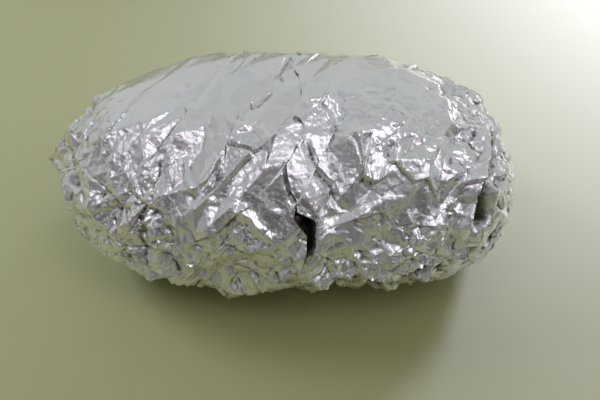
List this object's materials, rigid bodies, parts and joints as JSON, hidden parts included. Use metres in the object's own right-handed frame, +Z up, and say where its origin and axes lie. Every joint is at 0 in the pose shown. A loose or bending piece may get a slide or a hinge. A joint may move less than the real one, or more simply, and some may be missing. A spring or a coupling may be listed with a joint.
{
  "type": "foil-wrapped potato",
  "caption": "Whole baking potato closed in crumpled aluminium foil, with a twisted end, a gathered end and overlapping outer sheets, lying on its side.",
  "frame": {"origin": "on the surface that the packet lies on, under the middle of its bounding box", "axes": "+X along the packet, from the twisted end to the blunt gathered end; +Y towards its smooth back; +Z up"},
  "size_m": [0.14, 0.0794, 0.0619],
  "materials": {
    "foil_inner": "satin",
    "foil_outer": "bright"
  },
  "bodies": {
    "root": {"foil_packet": "foil_inner", "left_foil_sheet": "foil_outer", "right_foil_sheet": "foil_outer"}
  },
  "joints": []
}
